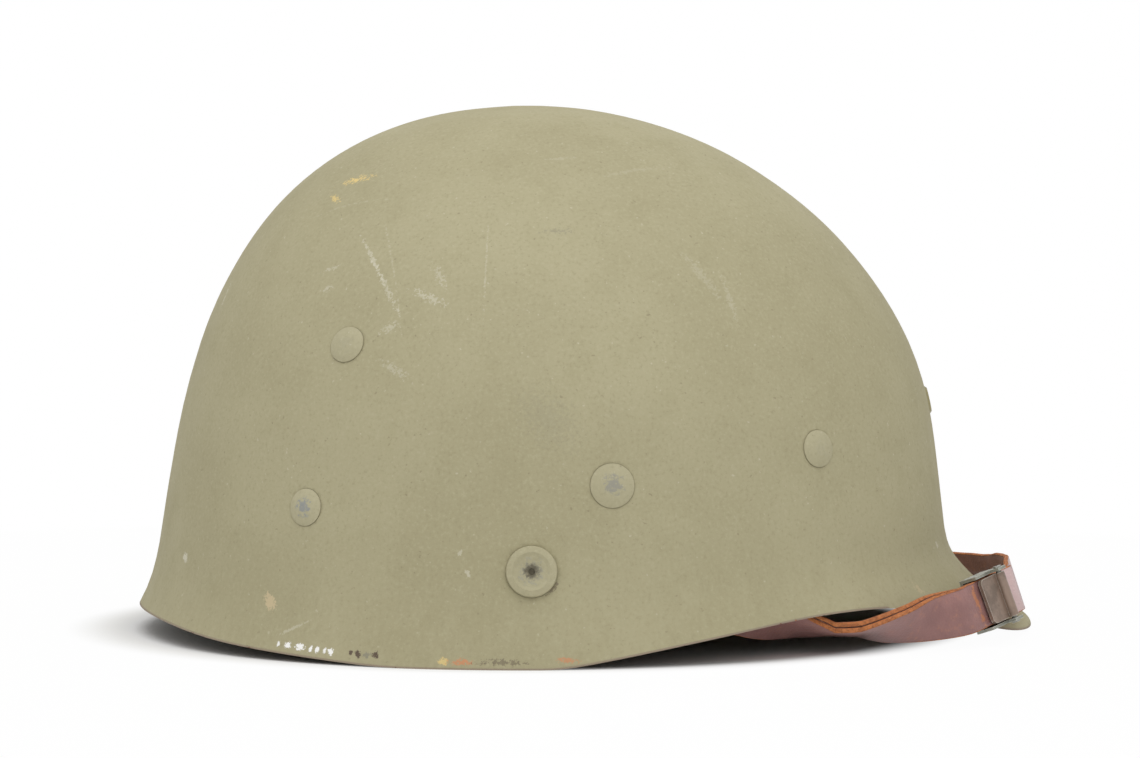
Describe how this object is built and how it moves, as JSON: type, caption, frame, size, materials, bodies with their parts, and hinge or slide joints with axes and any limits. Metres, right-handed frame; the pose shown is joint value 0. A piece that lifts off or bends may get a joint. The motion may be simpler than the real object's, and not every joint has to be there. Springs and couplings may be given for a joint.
{
  "type": "helmet liner",
  "caption": "Moulded cotton-duck liner of a steel pot helmet, with web suspension, clip-in leather sweatband and a buckled chinstrap stowed over the visor",
  "frame": {"origin": "on the ground below the middle of the liner, where its rim stands", "axes": "+X towards the visor, +Y towards the wearer's left, +Z towards the crown"},
  "size_m": [0.273, 0.2338, 0.1594],
  "materials": {
    "painted_laminate": "matt olive drab paint over resin-bonded cotton duck",
    "rivet_paint": "matt olive drab paint, worn to grey metal",
    "eyelet_brass": "painted brass, worn",
    "plated_steel": "dull plated steel",
    "blackened_steel": "blackened steel",
    "buckle_paint": "dark paint, worn",
    "webbing": "woven cotton webbing, olive drab",
    "lace_cotton": "braided cotton",
    "strap_leather": "dark brown grain leather, raw orange edges",
    "sweat_leather": "brown leather, satin"
  },
  "bodies": {
    "liner": {"chinstrap_bend_left": "strap_leather", "chinstrap_bend_right": "strap_leather", "chinstrap_fold_rivet": "plated_steel", "chinstrap_hook_left": "blackened_steel", "chinstrap_hook_right": "blackened_steel", "chinstrap_rear_left": "strap_leather", "chinstrap_rear_right": "strap_leather", "chinstrap_stud_left": "rivet_paint", "chinstrap_stud_right": "rivet_paint", "crown_lace": "lace_cotton", "crown_strap_front_left": "webbing", "crown_strap_front_right": "webbing", "crown_strap_rear_left": "webbing", "crown_strap_rear_right": "webbing", "crown_strap_side_left": "webbing", "crown_strap_side_right": "webbing", "eyelet_washer": "eyelet_brass", "front_eyelet": "eyelet_brass", "head_band": "webbing", "lace_knot": "lace_cotton", "liner_shell": "painted_laminate", "nape_rivets": "rivet_paint", "nape_strap": "webbing", "rivet_burrs": "plated_steel", "side_rivets": "rivet_paint", "suspension_rivets": "rivet_paint", "washer_front_left": "blackened_steel", "washer_front_right": "blackened_steel", "washer_rear_left": "blackened_steel", "washer_rear_right": "blackened_steel", "washer_side_left": "blackened_steel", "washer_side_right": "blackened_steel"},
    "strap_front": {"chinstrap_front": "strap_leather", "chinstrap_doubled": "strap_leather"},
    "buckle": {"buckle_channel": "buckle_paint", "buckle_pin": "plated_steel"},
    "clamp": {"buckle_clamp": "buckle_paint"},
    "sweatband": {"sweatband_web": "webbing", "sweatband_leather": "sweat_leather", "sweatband_adjuster": "blackened_steel", "sweatband_clips": "plated_steel", "clip_rivets": "plated_steel"}
  },
  "joints": [
    {"name": "strap_lift", "type": "hinge", "parent": "liner", "child": "strap_front", "pos_m": [0.084, 0, 0.0072], "axis": [0, -1, 0], "range_deg": [0, 35], "deforming": ["chinstrap_bend_left", "chinstrap_bend_right"]},
    {"name": "buckle_slide", "type": "slide", "parent": "strap_front", "child": "buckle", "axis": [0.5532, 0.8198, 0.1483], "range_m": [-0.003, 0.003]},
    {"name": "clamp_turn", "type": "hinge", "parent": "buckle", "child": "clamp", "pos_m": [0.12557, -0.04916, 0.01499], "axis": [-0.3351, 0.0559, 0.9405], "range_deg": [0, 100]},
    {"name": "sweatband_drop", "type": "slide", "parent": "liner", "child": "sweatband", "axis": [0, 0, -1], "range_m": [0, 0.03]}
  ]
}
